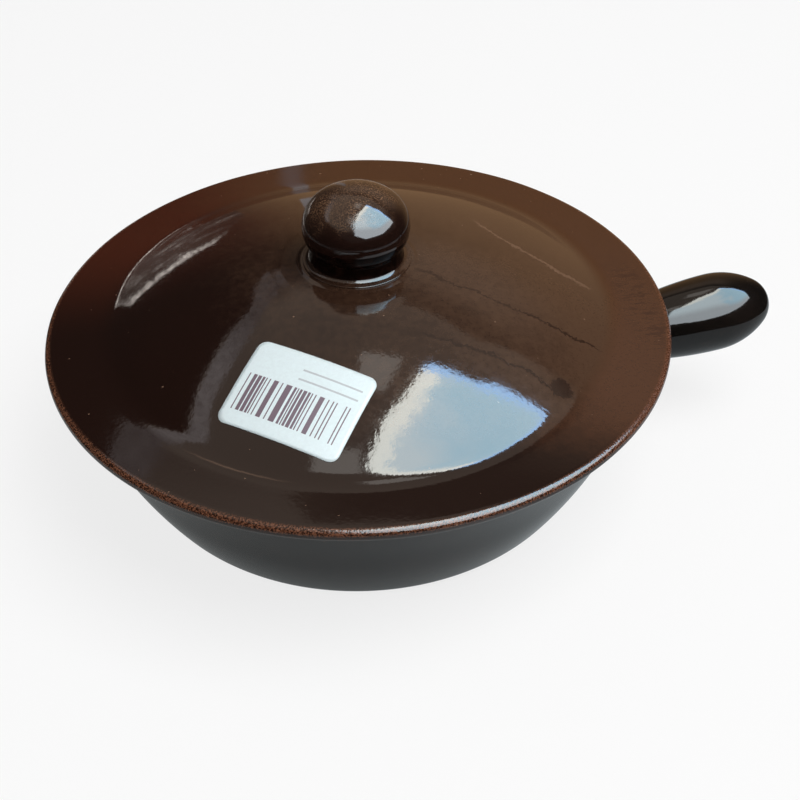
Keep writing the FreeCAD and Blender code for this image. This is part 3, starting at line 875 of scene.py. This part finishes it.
def lid_glaze():
    """Brown glaze on the lid, with fine glaze lines and a painted highlight along the
    crease, painted shade on the left and painted light on the right, and broken to rust
    round the bead.
    """
    nodes = Nodes("lid_glaze")
    place = nodes.place()
    radius = nodes.reach(place)
    grain = nodes.noise(place, LID_GRAIN, 2.0)
    # The lid's brown, with painted shade on the left and in front and painted light on
    # the right.
    colour, painted_light_share, mottle = brown_with_painted_light(nodes, place)
    colour = nodes.mix(nodes.ramp(grain, 0.56, 0.68, 0.0, 0.25), colour, DEEP_BROWN)
    dark_line, pale_line_and_highlight = hairlines_and_highlight(nodes, place)
    colour = nodes.mix(nodes.product(dark_line, 0.75), colour, DEEP_BROWN)
    # The pale line, and a painted highlight along the crease.
    colour = nodes.mix(nodes.product(pale_line_and_highlight, 0.55), colour, PALE_SPECK_AND_HIGHLIGHT)
    streaks = nodes.product(run_streaks(nodes, place), 0.6)
    colour = nodes.mix(streaks, colour, STREAK_BROWN)
    speck = nodes.ramp(nodes.noise(place, LID_SPECKS, 1.0), 0.795, 0.81)
    colour = nodes.mix(nodes.product(speck, 0.8), colour, PALE_SPECK_AND_HIGHLIGHT)
    _, _, height = nodes.split(place)
    at_edge = nodes.ramp(radius, 0.1006, 0.1020)
    bead_low = (RIM_HEIGHT + 2.2) * MM
    bead_high = (RIM_HEIGHT + 3.3) * MM
    upper = nodes.ramp(height, bead_low, bead_high, 0.08, 1.0)
    patches = nodes.noise(place, RUST_PATCHES, 2.0, 0.6)
    rust = nodes.product(at_edge, upper, nodes.ramp(patches, 0.42, 0.60, 0.08, 1.0))
    colour = nodes.mix(rust, colour, RUST_BROWN)
    on_flange = nodes.ramp(radius, 0.084, 0.090)
    rough = nodes.total(
        nodes.ramp(mottle, 0.3, 0.7, 0.05, 0.08),
        nodes.product(on_flange, painted_light_share, 0.08),
        nodes.product(rust, 0.15),
    )
    ripple_share = nodes.ramp(on_flange, 0.0, 1.0, 0.5, 0.3)
    relief = nodes.total(
        nodes.product(nodes.noise(place, LID_RIPPLE, 2.0), ripple_share),
        nodes.product(grain, at_edge, 2.0),
        nodes.product(dark_line, -0.25),
        nodes.product(pale_line_and_highlight, 0.4),
    )
    return nodes.surface(colour, rough, Normal=nodes.bumped(relief))


def knob_glaze():
    """The lid's glaze on the knob: speckled with rust over the top, made lighter and
    warmer on top as painted light, and dark below, partly as painted shade.
    """
    nodes = Nodes("knob_glaze")
    place = nodes.place()
    across, back, height = nodes.split(place)
    body, _, _ = brown_with_painted_light(nodes, place)
    cloud = nodes.noise(place, KNOB_CLOUDS, 3.0)
    speckle = nodes.noise(place, KNOB_SPECKLE, 2.0, 0.7)
    middle = (KNOB_TOP - KNOB_CROWN) * MM
    # Painted light: the top of the knob, leaning to the left and back, is made lighter
    # and warmer and carries the specks; below it the knob stays dark, partly as painted
    # shade.
    top = nodes.total(
        nodes.maths("SUBTRACT", height, middle),
        nodes.product(across, -0.12),
        nodes.product(back, 0.30),
        nodes.ramp(cloud, 0.2, 0.8, -0.003, 0.003),
    )
    painted_top_light = nodes.ramp(top, 0.0, 0.010)
    top_light_patches = nodes.product(painted_top_light, nodes.ramp(cloud, 0.42, 0.58, 0.35, 1.0))
    foot_low = (SEAT_HEIGHT + 0.7) * MM
    foot_high = (SEAT_HEIGHT + 1.6) * MM
    at_foot = nodes.ramp(height, foot_low, foot_high, 1.0, 0.0)
    colour = nodes.mix(at_foot, DEEP_BROWN, body)
    # Painted light makes the top lighter and warmer.
    colour = nodes.mix(nodes.product(painted_top_light, 0.45), colour, WARM_BROWN)
    spots = nodes.product(top_light_patches, nodes.ramp(speckle, 0.52, 0.62))
    colour = nodes.mix(spots, colour, KNOB_SPECK)
    dark = nodes.product(nodes.ramp(speckle, 0.36, 0.46, 1.0, 0.0), 0.8)
    colour = nodes.mix(dark, colour, DEEP_BROWN)
    grainy = nodes.ramp(across, -0.006, 0.003, 1.6, 0.3)
    relief = nodes.product(speckle, nodes.ramp(cloud, 0.45, 0.6, 0.35, 1.0), grainy)
    rough = nodes.ramp(cloud, 0.3, 0.7, 0.05, 0.09)
    return nodes.surface(colour, rough, Normal=nodes.bumped(relief))


def shaded_neck_glaze():
    """Near-black glaze under the knob's ball, partly dark glaze and partly painted shade,
    with little gloss.
    """
    nodes = Nodes("shaded_neck_glaze")
    cloud = nodes.noise(nodes.place(), NECK_CLOUDS, 3.0)
    # Painted shade: the neck under the ball is darker than the knob's own dark glaze.
    colour = nodes.mix(nodes.ramp(cloud, 0.4, 0.7), NECK_DEEP_SHADE, DEEP_BROWN)
    rough = nodes.ramp(cloud, 0.3, 0.7, 0.10, 0.16)
    return nodes.surface(colour, rough, NECK_SPECULAR)


def dull_neck(piece, material):
    """Give the faces between the knob's ball and its foot their own material."""
    piece.data.materials.append(material)
    low = (SEAT_HEIGHT + NECK_BOTTOM) * MM
    high = (KNOB_TOP - KNOB_CROWN - NECK_TOP) * MM
    for face in piece.data.polygons:
        if low < face.center.z < high:
            face.material_index = 1


def pot_glaze():
    """Near-black brown glaze of the bowl and its handle, wavy where it ran."""
    nodes = Nodes("pot_glaze")
    place = nodes.place()
    cloud = nodes.noise(place, POT_CLOUDS, 4.0)
    mottle = nodes.noise(place, POT_MOTTLE, 3.0)
    colour = nodes.mix(nodes.ramp(cloud, 0.35, 0.7), POT_DEEP, POT_BROWN)
    colour = nodes.mix(nodes.ramp(mottle, 0.62, 0.7, 0.0, 0.5), colour, POT_SPECK)
    ripple = nodes.noise(place, POT_RIPPLE, 2.0)
    relief = nodes.total(ripple, nodes.product(mottle, 0.2))
    rough = nodes.ramp(cloud, 0.3, 0.7, 0.05, 0.09)
    return nodes.surface(colour, rough, POT_SPECULAR, Normal=nodes.bumped(relief))


def paper():
    """White label paper with a block of plain bars and two ruled lines."""
    nodes = Nodes("label_paper")
    sheet = nodes.node("ShaderNodeUVMap", uv_map="label").outputs[0]
    across, up, _ = nodes.split(sheet)
    step = nodes.maths("FLOOR", nodes.product(across, BAR_STEPS))
    turn = nodes.product(step, BAR_TURN)
    jump = nodes.total(turn, nodes.product(step, step, BAR_JUMP))
    bar = nodes.maths("LESS_THAN", nodes.maths("FRACT", jump), 0.5)
    ink = nodes.product(bar, between(nodes, across, up, BAR_BLOCK))
    upper_rule = between(nodes, across, up, UPPER_RULE)
    lower_rule = between(nodes, across, up, LOWER_RULE)
    rule = nodes.maths("MAXIMUM", upper_rule, lower_rule)
    fibre = nodes.noise(nodes.place(), PAPER_FIBRE, 4.0, 0.7)
    white = nodes.mix(nodes.ramp(fibre, 0.3, 0.7), PAPER_SHADE, PAPER_WHITE)
    colour = nodes.mix(nodes.product(ink, 0.95), white, INK)
    colour = nodes.mix(nodes.product(rule, 0.45), colour, INK)
    normal = nodes.bumped(fibre, 0.4, PAPER_RELIEF)
    return nodes.surface(colour, PAPER_ROUGH, IOR=PAPER_IOR, Normal=normal)


def between(nodes, across, up, area):
    """1 inside a rectangle of the label, 0 outside."""
    left, right, bottom, top = area
    return nodes.product(
        nodes.maths("GREATER_THAN", across, left),
        nodes.maths("LESS_THAN", across, right),
        nodes.maths("GREATER_THAN", up, bottom),
        nodes.maths("LESS_THAN", up, top),
    )


def dress(piece, body, node, material):
    """Give a piece its finish and let it stand for its CAD node."""
    piece.data.materials.append(material)
    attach(piece, body)
    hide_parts(node)


def facing(place, aim):
    """Where a lamp or a camera stands, turned to look at an aim point."""
    turn = (aim - place).to_track_quat("-Z", "Y").to_matrix().to_4x4()
    return Matrix.Translation(place) @ turn


def make_camera():
    """The photograph's view: its place, its aim point on the table and its tilt."""
    camera = in_scene("camera", bpy.data.cameras.new("camera"))
    spin = Matrix.Rotation(CAMERA_ROLL, 4, "Z")
    camera.matrix_world = facing(CAMERA_PLACE, CAMERA_AIM) @ spin
    camera.data.sensor_width = SENSOR_WIDTH
    camera.data.lens = CAMERA_LENS
    camera.data.clip_start = NEAREST_SEEN
    bpy.context.scene.camera = camera


def seen_share(nodes):
    """1 for the rays that show or mirror the surroundings, 0 for the rays that light."""
    path = nodes.node("ShaderNodeLightPath").outputs
    seen = nodes.maths("MAXIMUM", path["Is Camera Ray"], path["Is Glossy Ray"])
    return nodes.maths("MAXIMUM", seen, path["Is Transmission Ray"])


def flat_object(name, points, faces, material):
    """A flat-sided object of the stage, in metres."""
    mesh = bpy.data.meshes.new(name)
    mesh.from_pydata(points, [], faces)
    mesh.materials.append(material)
    made = in_scene(name, mesh)
    return made


def mirrored_card(name, points, faces, material):
    """A card that shows in the gloss only, like a flag beside the camera."""
    card = flat_object(name, points, faces, material)
    for ray in ("camera", "diffuse", "transmission", "volume_scatter", "shadow"):
        setattr(card, f"visible_{ray}", False)


def make_floor():
    """A plain pale floor that looks white and still takes a soft shadow."""
    nodes = Nodes("floor_white")
    plain = nodes.node("ShaderNodeBsdfDiffuse", {"Color": FLOOR_GREY})
    bright = nodes.node("ShaderNodeEmission", {"Color": WHITE, "Strength": 1.0})
    share = nodes.product(seen_share(nodes), FLOOR_SHINE)
    inputs = {0: share, 1: plain.outputs[0], 2: bright.outputs[0]}
    material = nodes.finish(nodes.node("ShaderNodeMixShader", inputs))
    far = FLOOR_REACH
    corners = [(-far, -far, 0), (far, -far, 0), (far, far, 0), (-far, far, 0)]
    flat_object("floor", corners, [(0, 1, 2, 3)], material)


def make_world():
    """White surroundings to see and to mirror, and a dimmer even fill for the light."""
    world = bpy.data.worlds.new("studio")
    bpy.context.scene.world = world
    nodes = Nodes("studio", world)
    fill = (WORLD_FILL, WORLD_FILL, WORLD_FILL)
    colour = nodes.mix(seen_share(nodes), fill, WHITE)
    background = nodes.node("ShaderNodeBackground", {"Color": colour, "Strength": 1.0})
    nodes.finish(background, "ShaderNodeOutputWorld")


def make_ceiling():
    """What the gloss mirrors overhead: dark to half-way up, a dim ceiling above."""
    nodes = Nodes("ceiling_dim")
    _, _, height = nodes.split(nodes.place())
    low_edge = CEILING_DISTANCE * math.sin(CEILING_FROM)
    high_edge = CEILING_DISTANCE * math.sin(CEILING_TO)
    overhead = nodes.ramp(height, low_edge, high_edge)
    material = nodes.shining(nodes.mix(overhead, CEILING_DARK, CEILING_PALE))
    points, faces = [], []
    steps = 36
    rises = [7, 15, 24, 33, 43, 54, 66, 78]
    for rise in rises:
        reach = CEILING_DISTANCE * math.cos(math.radians(rise))
        up = CEILING_DISTANCE * math.sin(math.radians(rise))
        points += [around(360 * i / steps, reach, up) for i in range(steps)]
    top = len(points) - steps
    for low in range(0, top, steps):
        high = low + steps
        for i in range(steps):
            j = (i + 1) % steps
            faces.append((low + i, low + j, high + j, high + i))
    faces.append(tuple(range(top, top + steps)))
    mirrored_card("ceiling_card", points, faces, material)


def make_softbox():
    """The one lamp: a large softbox above on the right."""
    light = bpy.data.lights.new("softbox", "AREA")
    light.shape = "SQUARE"
    light.size = SOFTBOX_SIZE
    light.energy = SOFTBOX_RADIANCE * math.pi * SOFTBOX_SIZE**2
    lamp = in_scene("softbox", light)
    lamp.matrix_world = facing(SOFTBOX_PLACE, SOFTBOX_AIM)
    lamp.visible_glossy = False


def window_sky():
    """Cloudy sky: cream at the window's left edge, blue on the right and at the top."""
    nodes = Nodes("window_sky")
    place = nodes.place()
    across, back, height = nodes.split(place)
    cloud = nodes.noise(place, SKY_CLOUDS, 2.0)
    rag = nodes.ramp(nodes.noise(place, SKY_RAGS, 4.0, 0.7), 0.25, 0.75, -0.05, 0.05)
    drift = nodes.total(across, nodes.ramp(cloud, 0.3, 0.7, -0.25, 0.25))
    colour = nodes.mix(nodes.ramp(drift, 0.25, 0.75), SKY_PALE, SKY_BLUE)
    from_left = nodes.total(across, nodes.product(back, -0.64), rag)
    cream = nodes.ramp(from_left, 0.205, 0.235, 1.0, 0.0)
    cream = nodes.product(cream, nodes.ramp(nodes.total(back, rag), -0.34, -0.26))
    colour = nodes.mix(cream, colour, SKY_CREAM)
    to_top = nodes.total(back, nodes.product(across, 0.283), rag)
    colour = nodes.mix(nodes.ramp(to_top, 0.36, 0.42), colour, SKY_RIM)
    colour = nodes.mix(nodes.ramp(height, 0.9, 1.15, 1.0, 0.0), colour, SKY_LOW)
    return nodes.shining(colour, WINDOW_RADIANCE)


def make_window():
    """What the gloss mirrors as the window: a slanting outline, bent down in front."""
    left = [(-0.13, -0.40), (-0.03, -0.251), (0.10, 0.003), (0.21, 0.13), (0.339, 0.324)]
    top = [(0.388, 0.342), (0.598, 0.258), (0.751, 0.259), (1.065, 0.151), (1.35, 0.07)]
    bend = (0.95, -0.5)
    corners = [(*place, WINDOW_HEIGHT) for place in [*left, *top, bend]]
    corners += [(-0.19, -1.06, 0.75), (0.31, -1.47, 0.57)]
    corners += [(1.30, -1.09, 0.6), (1.75, -0.09, 0.76)]
    faces = [tuple(range(11)), (0, 10, 12, 11), (10, 9, 14, 13), (10, 13, 12)]
    mirrored_card("window_card", corners, faces, window_sky())


def make_haze():
    """The window's dim pale surroundings, left of its top corner and of its foot."""
    material = Nodes("haze_pale").shining(HAZE_PALE, HAZE_RADIANCE)
    outlines = {
        "haze_upper": [(0.02, 0.22), (0.13, 0.16), (0.25, 0.38), (0.06, 0.43)],
        "haze_lower": [(-0.26, -0.10), (-0.30, -0.30), (-0.08, -0.34), (-0.03, -0.14)],
    }
    for name, outline in outlines.items():
        corners = [(*place, HAZE_HEIGHT) for place in outline]
        mirrored_card(name, corners, [(0, 1, 2, 3)], material)


def around(bearing, radius, height):
    """A place round the pot, from a bearing in degrees."""
    angle = math.radians(bearing)
    return (radius * math.cos(angle), radius * math.sin(angle), height)


def band(name, radius, rows, material):
    """A card that bends round the pot, through rows of (bearing, bottom, top)."""
    points = []
    for bearing, bottom, top in rows:
        points += [around(bearing, radius, bottom), around(bearing, radius, top)]
    faces = [(2 * i, 2 * i + 2, 2 * i + 3, 2 * i + 1) for i in range(len(rows) - 1)]
    mirrored_card(name, points, faces, material)


def bearing_of(nodes, across, back):
    """The bearing of a place round the pot, in degrees."""
    return nodes.product(nodes.maths("ARCTAN2", back, across), math.degrees(1.0))


def make_surround():
    """What the gloss mirrors as the dim brown room, low in front and high behind."""
    nodes = Nodes("room_brown")
    across, back, height = nodes.split(nodes.place())
    bearing = bearing_of(nodes, across, back)
    warm = nodes.product(
        nodes.ramp(bearing, 10.0, 45.0),
        nodes.ramp(bearing, 86.0, 106.0, 1.0, 0.0),
    )
    brown = nodes.mix(nodes.ramp(height, 0.14, 0.26), ROOM_WARM, ROOM_PALE)
    brown = nodes.mix(nodes.ramp(height, 0.28, 0.36), brown, ROOM_DIM)
    colour = nodes.mix(warm, ROOM_DARK, brown)
    upper = nodes.mix(nodes.ramp(bearing, 82.0, 100.0), ROOM_UPPER, ROOM_CORNER)
    colour = nodes.mix(nodes.ramp(height, 0.34, 0.37), colour, upper)
    front = [(-180, 0.33), (-155, 0.30), (-130, 0.20), (-108, 0.13), (-8, 0.13)]
    right = [(0, 0.17), (5, 0.215), (12, 0.265), (24, 0.34), (32, 0.40), (40, 0.42)]
    behind = [(55, 0.42), (70, 0.42), (85, 0.42), (90, 0.42), (96, 0.37), (99, 0.32)]
    left = [(101, 0.255), (103, 0.235), (107, 0.24), (113, 0.262), (116, 0.295)]
    left += [(118, 0.312), (121, 0.322), (126, 0.325), (142, 0.335), (160, 0.33)]
    left += [(173, 0.315), (180, 0.33)]
    rows = filled(front + right + behind + left)
    band("room_card", ROOM_DISTANCE, rows, nodes.shining(colour))


def filled(tops):
    """Rows for a band standing on the table, from (bearing, top), filled in between."""
    rows = []
    widest = 6
    for (start, low), (finish, high) in zip(tops, tops[1:]):
        count = max(1, math.ceil((finish - start) / widest))
        for step in range(count):
            share = step / count
            bearing = start + (finish - start) * share
            rows.append((bearing, 0.0, low + (high - low) * share))
    last, top = tops[-1]
    rows.append((last, 0.0, top))
    return rows


def sill_gleam():
    """Dim, with a bright ragged upper edge and a few streaks that fade to the right."""
    nodes = Nodes("sill_gleam")
    place = nodes.place()
    across, back, height = nodes.split(place)
    bearing = bearing_of(nodes, across, back)
    stretched = nodes.vectors("MULTIPLY", place, (1.0, 1.0, 9.0))
    streak = nodes.noise(stretched, SILL_STREAKS, 5.0, 0.7)
    fine = nodes.noise(place, SILL_GRAIN, 4.0, 0.75)
    ragged = nodes.total(height, nodes.ramp(streak, 0.3, 0.7, -0.005, 0.005))
    ragged = nodes.total(ragged, nodes.ramp(fine, 0.3, 0.7, -0.006, 0.006))
    upper_edge = nodes.ramp(ragged, 0.090, 0.096)
    streaks = nodes.ramp(streak, 0.54, 0.66)
    lower_edge = nodes.ramp(height, 0.0, 0.010, 1.2, 0.0)
    gleam = nodes.total(
        nodes.product(upper_edge, nodes.ramp(fine, 0.38, 0.6, 0.3, 3.2)),
        nodes.product(streaks, nodes.ramp(fine, 0.35, 0.65, 0.3, 1.5)),
        lower_edge,
        0.10,
    )
    strength = nodes.product(gleam, nodes.ramp(bearing, 103.0, 118.0, 0.3, 1.25))
    return nodes.shining(SILL_PALE, strength)


def post_gleam():
    """A dim post, brighter towards the left, broken up as if seen in uneven glass."""
    nodes = Nodes("post_gleam")
    place = nodes.place()
    across, back, _ = nodes.split(place)
    bearing = bearing_of(nodes, across, back)
    fine = nodes.noise(place, POST_GRAIN, 4.0, 0.75)
    to_left = nodes.ramp(bearing, 105.0, 160.0, 0.38, 1.3)
    strength = nodes.product(to_left, nodes.ramp(fine, 0.40, 0.58, 0.40, 1.15))
    return nodes.shining(POST_PALE, strength)


def make_pale_cards():
    """The pale sill and the pale posts that the lid's left side mirrors."""
    rows = [(101, 0.0, 0.055), (106, 0.0, 0.085)]
    rows += [(bearing, 0.0, 0.10) for bearing in range(110, 134, 3)]
    band("sill_card", CARD_DISTANCE, rows, sill_gleam())
    rows = [(89.3, 0.05, 0.17), (91.6, 0.05, 0.17)]
    band("streak_card", CARD_DISTANCE, rows, Nodes("streak_pale").shining(STREAK_PALE))
    rows = [(107, 0.23, 0.29), (113, 0.255, 0.32), (116, 0.285, 0.33)]
    rows += [(121, 0.312, 0.355), (128, 0.32, 0.375), (142, 0.328, 0.395)]
    rows += [(160, 0.322, 0.377), (173, 0.308, 0.362), (178, 0.31, 0.36)]
    band("post_card", CARD_DISTANCE, rows, post_gleam())


def make_table_card():
    """The grey table that the pot's wall mirrors close by, lighter farther out."""
    nodes = Nodes("table_grey")
    place = nodes.place()
    across, _, _ = nodes.split(place)
    colour = nodes.mix(nodes.ramp(across, -0.08, 0.15), TABLE_LEFT, TABLE_RIGHT)
    outer = nodes.ramp(nodes.reach(place), 0.086, 0.106, 0.0, 0.9)
    not_right = nodes.ramp(across, 0.06, 0.09, 1.0, 0.0)
    strength = nodes.total(nodes.product(outer, not_right), 1.0)
    bearings = range(0, 360, 10)
    points = [around(bearing, ROOM_DISTANCE, TABLE_HEIGHT) for bearing in bearings]
    faces = [tuple(range(len(points)))]
    mirrored_card("table_card", points, faces, nodes.shining(colour, strength))


bpy.context.scene.view_settings.view_transform = "Standard"
make_camera()
make_floor()
make_world()
make_softbox()
make_ceiling()
make_window()
make_haze()
make_surround()
make_pale_cards()
make_table_card()
pot_finish = pot_glaze()
lid = make_lid()
make_uneven(lid)
dress(make_bowl(), "pan", "pan_bowl", pot_finish)
dress(make_handle(), "pan", "pan_handle", pot_finish)
dress(lid, "lid", "lid_plate", lid_glaze())
knob = make_knob()
dress(knob, "lid", "lid_knob", knob_glaze())
dull_neck(knob, shaded_neck_glaze())
dress(make_label(), "lid", "price_label", paper())
